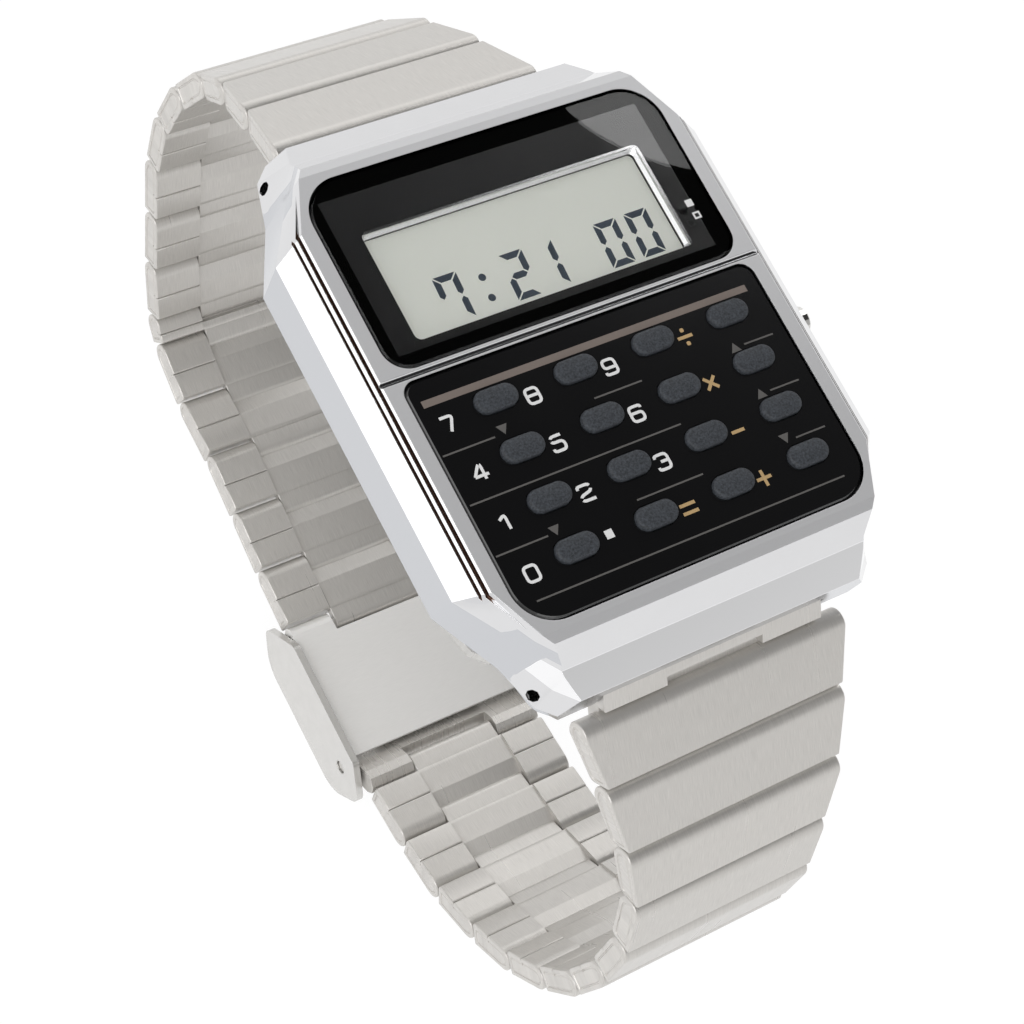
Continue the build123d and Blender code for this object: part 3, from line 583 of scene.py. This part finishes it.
def bar_outlines():
    """The seven bars by letter, each a long box whose ends are cut at 45 degrees. The top, the
    upper left and the middle one are drawn, and the others are their mirror images."""
    wide, high = numeral_size
    middle = high / 2
    cut = bar_gap + bar_width
    tip = bar_gap + bar_width / 2
    top = np.array([
        (bar_gap, high), (wide - bar_gap, high), (wide - cut, high - bar_width),
        (cut, high - bar_width),
    ])
    side = np.array([
        (0.0, high - bar_gap), (bar_width, high - cut), (bar_width, middle + tip),
        (bar_width / 2, middle + bar_gap), (0.0, middle + tip),
    ])
    across = np.array([
        (tip, middle), (cut, middle + bar_width / 2), (wide - cut, middle + bar_width / 2),
        (wide - tip, middle), (wide - cut, middle - bar_width / 2),
        (cut, middle - bar_width / 2),
    ])
    other_side = np.where((True, False), numeral_size - side, side)
    return {
        "a": top, "d": np.where((False, True), numeral_size - top, top), "g": across,
        "f": side, "e": np.where((False, True), numeral_size - side, side),
        "b": other_side, "c": np.where((False, True), numeral_size - other_side, other_side),
    }


def anticlockwise(outline):
    """The same outline, turned round if its signed area is negative."""
    x, y = np.array(outline, float).T
    area = np.sum(x * np.roll(y, -1) - y * np.roll(x, -1))
    return np.column_stack([x, y])[:: 1 if area > 0 else -1]


numeral_outlines = bar_outlines()
bars = []
for numeral, left, low in numeral_places:
    for letter in numeral_bars[numeral]:
        x, y = numeral_outlines[letter].T
        bars.append(anticlockwise(np.column_stack([left + x + lean_share * y, low + y])))
turn = np.linspace(0.0, 2.0 * np.pi, 20, endpoint=False)
dot = colon_radius * np.column_stack([np.cos(turn), np.sin(turn)])
bars += [dot + place for place in colon_dots]
lcd_bars = plates(bars, lcd_ink_low, lcd_ink_high)
add_piece("lcd_numerals", lcd_bars, lcd_ink, "case")

# Keypad panel
# A thick moulded plate in gloss black with a bevelled rim, set into the case's face. It has a
# slot-shaped hole for each key.
panel_black = plain("panel_black", (0.0035, 0.0035, 0.004), 0.16, 0.8, 0.0, coat=1.0, shade=0.05)
finish_node("keypad_panel", panel_black)

# Legends
# Numerals in white, the five signs in gold, and grey rules and small marks. They are printed on
# the panels in thin coats of ink.
ink_white = plain("ink_white", (0.80, 0.80, 0.80), 0.5, 0.1, 0.0, shade=0.04)
ink_gold = plain("ink_gold", (0.50, 0.34, 0.16), 0.5, 0.1, 0.0, shade=0.05)
ink_grey = plain("ink_grey", (0.11, 0.105, 0.10), 0.5, 0.1, 0.0, shade=0.05)
ink_taupe = plain("ink_taupe", (0.19, 0.155, 0.135), 0.5, 0.1, 0.0, shade=0.05)
panel_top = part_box("keypad_panel")[1][2] / mm
ink_low = panel_top + 0.005
ink_high = panel_top + 0.02
ink_step = 0.004


def stroke_sides(line, width, closed=False):
    """A pen stroke: the line's points, moved half the width to each side along the mean normal
    of the runs that meet there."""
    p = np.array(line, float)
    before = np.roll(p, 1, axis=0) if closed else np.vstack([2 * p[0] - p[1], p[:-1]])
    after = np.roll(p, -1, axis=0) if closed else np.vstack([p[1:], 2 * p[-1] - p[-2]])
    arriving = p - before
    leaving = after - p
    arriving /= np.linalg.norm(arriving, axis=1)[:, None]
    leaving /= np.linalg.norm(leaving, axis=1)[:, None]
    tangent = arriving + leaving
    tangent /= np.linalg.norm(tangent, axis=1)[:, None]
    stretch = 1.0 / np.clip(np.sum(tangent * arriving, axis=1), 0.5, 1.0)
    normal = np.stack([-tangent[:, 1], tangent[:, 0]], axis=1) * (stretch * width / 2)[:, None]
    return p + normal, p - normal


def strokes(lines, width):
    """Thin solids whose four corners follow each pen stroke. A stroke's step lifts its top a
    little, so that strokes which cross don't share a surface."""
    solids = []
    for line, closed, step in lines:
        left, right = stroke_sides(line, width, closed)
        top = ink_high + ink_step * step
        sections = np.stack([
            at_level(left, ink_low), at_level(right, ink_low), at_level(right, top),
            at_level(left, top),
        ], axis=1)
        solids.append(skin(sections, loop=closed))
    return together(solids)


def rounded(line, radius, closed=False):
    """The line with each corner replaced by a curve in five points, from a radius before the
    corner to a radius after it: (1 - t) squared of the first, 2 t (1 - t) of the corner itself
    and t squared of the last."""
    p = np.array(line, float)
    t = np.linspace(0.0, 1.0, 5)[:, None]
    runs = []
    for i, corner in enumerate(p):
        if not closed and i in (0, len(p) - 1):
            runs.append(corner[None])
            continue
        back = p[i - 1] - corner
        ahead = p[(i + 1) % len(p)] - corner
        start = corner + back * min(radius / np.linalg.norm(back), 0.5)
        end = corner + ahead * min(radius / np.linalg.norm(ahead), 0.5)
        runs.append((1 - t) ** 2 * start + 2 * t * (1 - t) * corner + t ** 2 * end)
    return np.concatenate(runs)


numeral_loops = {
    "0": [[(0, 0), (1, 0), (1, 1), (0, 1)]],
    "8": [[(0, 0), (1, 0), (1, 1), (0, 1)]],
}
numeral_lines = {
    "1": [[(0.1, 0.72), (0.62, 1.0), (0.62, 0.0)]],
    "2": [[(0, 0.78), (0, 1), (1, 1), (1, 0.55), (0, 0.35), (0, 0), (1.05, 0)]],
    "3": [[(0, 0.8), (0, 1), (1, 1), (1, 0), (0, 0), (0, 0.2)], [(0.35, 0.53), (1, 0.53)]],
    "4": [[(0.75, 0.0), (0.75, 1.0), (0.6, 1.0), (0, 0.3)], [(0, 0.28), (1.1, 0.28)]],
    "5": [[(0.98, 1), (0.08, 1), (0.03, 0.58), (1, 0.6), (1, 0), (0, 0), (0, 0.2)]],
    "6": [
        [(1, 0.82), (1, 1), (0, 1), (0, 0), (1, 0), (1, 0.56), (0.5, 0.56)],
        [(0.55, 0.56), (0, 0.56)],
    ],
    "7": [[(0, 1), (1, 1), (0.45, 0.0)]],
    "8": [[(0, 0.53), (1, 0.53)]],
    "9": [
        [(0, 0.18), (0, 0), (1, 0), (1, 1), (0, 1), (0, 0.44), (0.5, 0.44)],
        [(0.45, 0.44), (1, 0.44)],
    ],
}
numeral_centres = {
    "7": (-12.34, -2.15), "8": (-5.89, -2.32), "9": (0.32, -2.30),
    "4": (-12.02, -5.95), "5": (-5.96, -5.98), "6": (0.37, -6.03),
    "1": (-12.06, -9.66), "2": (-5.90, -9.80), "3": (0.32, -9.77),
    "0": (-12.16, -13.45),
}
legend_size = np.array((0.94, 1.08))
legend_stroke = 0.21
legend_corner = 0.3
legend_lines = []
for numeral, centre in numeral_centres.items():
    loops = [(line, True) for line in numeral_loops.get(numeral, [])]
    lines = [(line, False) for line in numeral_lines.get(numeral, [])]
    for step, (line, closed) in enumerate(loops + lines):
        placed = np.array(centre) + (np.array(line) - 0.5) * legend_size
        legend_lines.append((rounded(placed, legend_corner, closed), closed, step))
add_piece("numerals", strokes(legend_lines, legend_stroke), ink_white, "case")

sign_stroke = 0.24
sign_lines = (
    [(6.18, -6.34), (7.08, -5.44)], [(6.18, -5.44), (7.08, -6.34)],
    [(5.97, -13.41), (7.17, -13.41)], [(6.57, -14.01), (6.57, -12.81)],
    [(-0.28, -13.08), (0.96, -13.08)], [(-0.28, -13.68), (0.96, -13.68)],
    [(6.08, -9.71), (7.14, -9.71)], [(6.04, -2.18), (7.24, -2.18)],
)
signs = strokes([(line, False, i % 2) for i, line in enumerate(sign_lines)], sign_stroke)
add_piece("signs", signs, ink_gold, "case")
dot_half = 0.15
dot_corner = 0.1
dot_places = np.array([(6.65, -1.66), (6.65, -2.7)])
dots = [rounded_box(place - dot_half, place + dot_half, dot_corner) for place in dot_places]
add_piece(
    "division_dots", plates(dots, ink_low, ink_high), ink_gold, "case",
)

rule_stroke = 0.12
rule_lines = (
    [(-13.83, -4.07), (-9.83, -4.07)], [(-1.92, -4.0), (1.96, -4.0)],
    [(10.51, -4.15), (12.98, -4.17)], [(-13.78, -7.79), (2.95, -7.8)],
    [(10.48, -7.88), (12.94, -7.9)], [(-13.86, -11.55), (-9.86, -11.55)],
    [(-2.82, -11.56), (2.56, -11.57)], [(10.39, -11.64), (12.89, -11.65)],
    [(-12.79, -15.25), (12.25, -15.38)],
)
rules = strokes([(line, False, 0) for line in rule_lines], rule_stroke)
add_piece("rules", rules, ink_grey, "case")
stripe_width = 0.52
stripe = strokes([([(-13.4, -0.33), (12.95, -0.37)], False, 0)], stripe_width)
add_piece("panel_stripe", stripe, ink_taupe, "case")

triangle_places = (
    (-9.03, -3.74, -1), (-9.21, -11.35, -1), (9.71, -4.17, 1), (9.69, -7.88, 1),
    (9.60, -11.38, -1),
)
triangle = np.array([(-0.42, -0.3), (0.42, -0.3), (0.0, 0.4)])
triangles = [anticlockwise(triangle * (1, way) + (x, y)) for x, y, way in triangle_places]
add_piece(
    "triangle_marks", plates(triangles, ink_low, ink_high), ink_grey, "case",
)
square_corner = 0.03
squares = [
    rounded_box((-6.15, -13.27), (-5.55, -12.65), square_corner),
    rounded_box((12.1, 6.65), (12.68, 7.2), square_corner),
]
add_piece(
    "square_marks", plates(squares, ink_low, ink_high), ink_white, "case",
)
open_stroke = 0.13
open_square = [(12.23, 5.68), (12.69, 5.68), (12.69, 6.1), (12.23, 6.1)]
add_piece(
    "open_square_mark", strokes([(open_square, True, 0)], open_stroke), ink_white,
    "case",
)

# Keys
# Sixteen pill-shaped keys of grained dark rubber, each moulded with a flange that lies under the
# panel and a soft rounded rim on top.
key_rubber = plain("key_rubber", (0.036, 0.041, 0.049), 0.62, 0.14, 0.02, shade=0.85)
key_names = [name for name in cad if name.startswith("key_") and name != "key_membrane"]
key_foot = 0.02
key_flange = 0.35
key_flange_height = 0.4
key_rim = 0.26
key_rim_drop = 0.05
key_crown = ((0.22, 0.012), (0.5, 0.0))
key_crease_angle = 0.7


def pill_ring(half_length, radius):
    """A stadium outline by angle, in forty points: two half circles, moved apart by the straight
    run between them."""
    turn = np.linspace(0.0, 2.0 * np.pi, 40, endpoint=False)
    run = np.sign(np.round(np.cos(turn), 6)) * (half_length - radius)
    return np.column_stack([run + radius * np.cos(turn), radius * np.sin(turn)])


for name in key_names:
    low, high = (np.array(corner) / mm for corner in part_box(name))
    centre = (low + high) / 2
    half = (high - low) / 2
    flange_top = low[2] + key_flange_height
    turn = np.linspace(0.0, np.pi / 2, 6)
    rim_insets = key_flange + key_rim * (1 - np.cos(turn))
    rim_levels = high[2] - key_rim_drop - key_rim * (1 - np.sin(turn))
    profile = [
        (key_foot, low[2]), (0.0, low[2] + key_foot), (0.0, flange_top), (key_flange, flange_top),
        *zip(rim_insets, rim_levels),
        *((key_flange + key_rim + inset, high[2] - drop) for inset, drop in key_crown),
    ]
    rings = [
        at_level(pill_ring(half[0] - inset, half[1] - inset) + centre[:2], level)
        for inset, level in profile
    ]
    key = add_piece(f"cap_{name}", skin(rings), key_rubber, name, smooth=True)
    key.data.set_sharp_from_angle(angle=key_crease_angle)
    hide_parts(name)

# Bracelet links
# Sleeves folded from brushed steel strip, with a seam on the wrist side and a tongue that reaches
# on to the next pin. The first two also have a neck rolled round the spring bar, and the clasp's
# end link keeps the CAD model's shape.
link_steel = metal(
    "link_steel", (0.62, 0.60, 0.57), 0.30, (26.0, 0.7, 1.0), 0.0045,
    shade=0.13, swing=0.04, uv=True, metallic=0.45,
)
strap_steel = metal(
    "strap_steel", (0.62, 0.60, 0.57), 0.28, (26000.0, 700.0, 700.0), 0.003,
    shade=0.07, swing=0.04, edge=0.07, metallic=0.65,
)
link_half = 1.05
link_gap = 0.12
link_crease = 0.42
link_crease_angle = 0.45
link_half_widths = (10.95, 10.0, 9.1, 8.3, 8.2)
link_pattern_step = 9.0
weld_distance = 0.0001 * mm
sleeve_turn = (74.0, 270.0)
sleeve_under_start = 0.2
sleeve_end_round = ((0.35, 0.0), (0.12, 0.07), (0.0, 0.3))
sleeve_edge = (
    (0.55, 0.0), (0.46, 0.07), (0.40, 0.07), (0.36, 0.0), (0.10, 0.0), (0.04, 0.03), (0.0, 0.10),
)
flap_side = 4.15
flap_edge = 0.05
seam_share = 0.46
seam_half = 0.14
seam_lip = 0.04
seam_depth = 0.22
recess_depth = 0.25
recess_reach = 0.8
tongue_half = 4.0
tongue_top = 0.2
tongue_half_height = 0.45
tongue_edge = 0.06
tongue_root = 0.3
tongue_run = 0.6
barrel_radius = 0.68
barrel_turn = (120.0, -90.0)
neck_half = 9.1
neck_radius = 1.08
neck_bore = 0.6
neck_turn = (90.0, 319.6)
neck_reach = 2.9
neck_under = 0.7
neck_edge = 0.08
neck_slot_wall = 2.2
neck_slot_foot = 2.22
neck_slot_lip = 2.3
neck_slot_level = -0.35
root_half = 9.08
root_outline = np.array([(4.6, -1.0), (4.6, 0.3), (1.5, 0.3), (1.5, -1.0)])


def sleeve_profile(end):
    """Points round a sleeve seen from its side, as distance along the band and out of it: from
    the face's far edge back over a round of radius link_half, and under to the far end. Two
    versions pair up point by point: the flank with its seam and the middle with its recess."""
    turn = np.radians(np.linspace(*sleeve_turn, 17))
    nose = link_half * np.column_stack([np.cos(turn), np.sin(turn)])
    nose[0] = (link_crease, link_half)
    seam = end * seam_share
    flank = np.concatenate([
        [(end, link_half - flap_edge), (end - flap_edge, link_half)],
        nose,
        [
            (sleeve_under_start, -link_half), (seam - seam_half, -link_half),
            (seam - seam_lip, -link_half + flap_edge), (seam, -link_half + seam_depth),
            (seam + seam_lip, -link_half + flap_edge), (seam + seam_half, -link_half),
            *((end - back, -link_half + rise) for back, rise in sleeve_end_round),
        ],
    ])
    middle = flank.copy()
    middle[:, 1] = np.maximum(middle[:, 1], -link_half + recess_depth)
    deep = (middle[:, 0] < recess_reach) & (middle[:, 1] < 0.0)
    middle[deep, 1] = np.maximum(middle[deep, 1], -recess_depth)
    return flank, middle


def sleeve(wide, narrow, end):
    """A sleeve as profile rings across the band. Near both sides a ring is drawn towards the
    middle by an inset and lies a little back from the side, for a soft edge and for a fine
    groove where the folded strip's thickness shows."""
    flank, middle = sleeve_profile(end)
    centre = np.array(((end - link_half) / 2, 0.0))
    reach = np.array(((end + link_half) / 2, link_half))

    def side_ring(inset, back, side):
        drawn = centre + (flank - centre) * (1.0 - inset / reach)
        width = wide + (narrow - wide) * np.clip(drawn[:, 0] / end, 0.0, 1.0)
        return np.column_stack([side * (width - back), drawn])

    flap = np.full(len(flank), flap_side)
    return (
        [side_ring(inset, back, -1) for inset, back in sleeve_edge]
        + [np.column_stack([-flap, flank]), np.column_stack([-flap, middle])]
        + [np.column_stack([flap, middle]), np.column_stack([flap, flank])]
        + [side_ring(inset, back, 1) for inset, back in reversed(sleeve_edge)]
    )


def barrel(end, pitch):
    """The middle strip, as rings across the band: a flat tongue that ends in a circle round the
    next pin. The outer rings are drawn in a little towards the tongue's own middle."""
    turn = np.radians(np.linspace(*barrel_turn, 17))
    circle = barrel_radius * np.column_stack([np.cos(turn), np.sin(turn)]) + (pitch, 0.0)
    start = end - tongue_root
    tongue = [(start, -barrel_radius), (start, tongue_top), (pitch - tongue_run, tongue_top)]
    shape = np.concatenate([tongue, circle])
    middle = (0.0, (tongue_top - barrel_radius) / 2)
    drawn = middle + (shape - middle) * (1.0, 1.0 - tongue_edge / tongue_half_height)
    stations = (
        (drawn, -tongue_half), (shape, tongue_edge - tongue_half),
        (shape, tongue_half - tongue_edge), (drawn, tongue_half),
    )
    return [np.column_stack([np.full(len(ring), x), ring]) for ring, x in stations]


def neck():
    """The neck, as rings across the band that run in a loop through its bore: a circle with a
    flat top, and a slot in its middle."""
    turn = np.radians(np.linspace(*neck_turn, 22))
    nose = neck_radius * np.column_stack([np.cos(turn), np.sin(turn)])
    top = [(neck_reach, neck_radius), (neck_slot_lip, neck_radius), (neck_slot_wall, neck_radius)]
    flank = np.concatenate([top, nose, [(neck_reach, -neck_under)]])
    middle = flank.copy()
    middle[0] = (neck_reach, neck_slot_level)
    middle[1] = (neck_slot_foot, neck_slot_level)
    far = np.linalg.norm(flank, axis=1)[:, None]
    bore = flank / far * neck_bore
    drawn = flank * (1.0 - neck_edge / far)
    shoulder = neck_half - neck_edge
    stations = (
        (bore, -neck_half), (drawn, -neck_half), (flank, -shoulder), (flank, -tongue_half),
        (middle, -tongue_half), (middle, tongue_half), (flank, tongue_half), (flank, shoulder),
        (drawn, neck_half), (bore, neck_half),
    )
    return [np.column_stack([np.full(len(ring), x), ring]) for ring, x in stations]


def neck_root():
    """The strap that joins the neck to the sleeve: a straight bar set inside both."""
    corners = len(root_outline)
    return [
        np.column_stack([np.full(corners, x), root_outline]) for x in (-root_half, root_half)
    ]


def set_along(points, start, way, side):
    """Points given across, along and out of the band, set from a start in a direction: out is
    the direction turned by a right angle."""
    out = np.array((-way[1], way[0])) * side
    return np.column_stack([points[:, 0], start + points[:, 1:] @ np.array([way, out])])


def downhill(angle, side):
    """The unit direction that falls by an angle towards one half of the bracelet."""
    return np.array((side * np.cos(np.radians(angle)), -np.sin(np.radians(angle))))


link_names = sorted(name for name in cad if name.startswith("link_"))
neck_lean = 48.9
first_links = {"link_12_01": (32.0, 6.3), "link_6_01": (38.0, 5.24)}
last_pin = np.array((1.98, -45.6))
pins = {joint["child"]: np.array(joint["pos_m"])[1:] / mm for joint in frame["joints"]}
next_pins = {joint["parent"]: pins[joint["child"]] for joint in frame["joints"]}
for order, name in enumerate(link_names):
    number = int(name[-2:])
    side = 1.0 if "_12_" in name else -1.0
    start = pins[name]
    target = next_pins.get(name, last_pin)
    parts = []
    if name in first_links:
        lean, length = first_links[name]
        neck_way = downhill(neck_lean, side)
        parts.append((skin(neck(), loop=True), start, neck_way))
        parts.append((skin(neck_root()), start, neck_way))
        start = target - length * downhill(lean, side)
    pitch = float(np.linalg.norm(target - start))
    way = (target - start) / pitch
    end = pitch - link_half - link_gap
    last = len(link_half_widths) - 1
    wide = link_half_widths[min(number - 1, last)]
    narrow = link_half_widths[min(number, last)]
    parts.append((skin(sleeve(wide, narrow, end)), start, way))
    parts.append((skin(barrel(end, pitch)), start, way))
    local, faces = together([solid for solid, origin, heading in parts])
    placed = np.concatenate([
        set_along(solid[0], origin, heading, side) for solid, origin, heading in parts
    ])
    piece = add_piece(
        f"sleeve_{name[5:]}", (placed, faces), link_steel, name, smooth=True,
    )
    link_mesh = piece.data
    brushed = link_mesh.uv_layers.new(name="along_band")
    corners = np.zeros(len(link_mesh.loops), dtype=np.int32)
    link_mesh.loops.foreach_get("vertex_index", corners)
    along = local[corners, 1] + link_pattern_step * order
    band_places = np.column_stack([local[corners, 0], along])
    brushed.data.foreach_set("uv", band_places.ravel())
    welded = bmesh.new()
    welded.from_mesh(link_mesh)
    bmesh.ops.remove_doubles(welded, verts=welded.verts, dist=weld_distance)
    welded.to_mesh(link_mesh)
    welded.free()
    link_mesh.set_sharp_from_angle(angle=link_crease_angle)
    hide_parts(name)
finish_node("clasp_end_link", strap_steel)

# Clasp
# A folded steel cover, a middle blade and an inner blade that lies against the wrist, pressed
# from steel strip and joined by pins through their ears and knuckles.
clasp_satin = metal(
    "clasp_satin", (0.66, 0.65, 0.63), 0.22, (26000.0, 700.0, 700.0), 0.002,
    shade=0.04, swing=0.03, edge=0.08, metallic=0.65,
)
# Painted light: the inner blade's satin steel is painted much paler than the rest of the clasp's
# steel, for light that reaches it under the case.
blade_satin_painted_light = metal(
    "blade_satin_painted_light", (0.90, 0.89, 0.87), 0.5, (900.0, 26000.0, 900.0), 0.002,
    shade=0.04, swing=0.04, edge=0.08, metallic=0.4,
)
finish_node("clasp_cover", clasp_satin)
finish_node("clasp_middle_blade", strap_steel)
finish_node("clasp_inner_blade", blade_satin_painted_light)
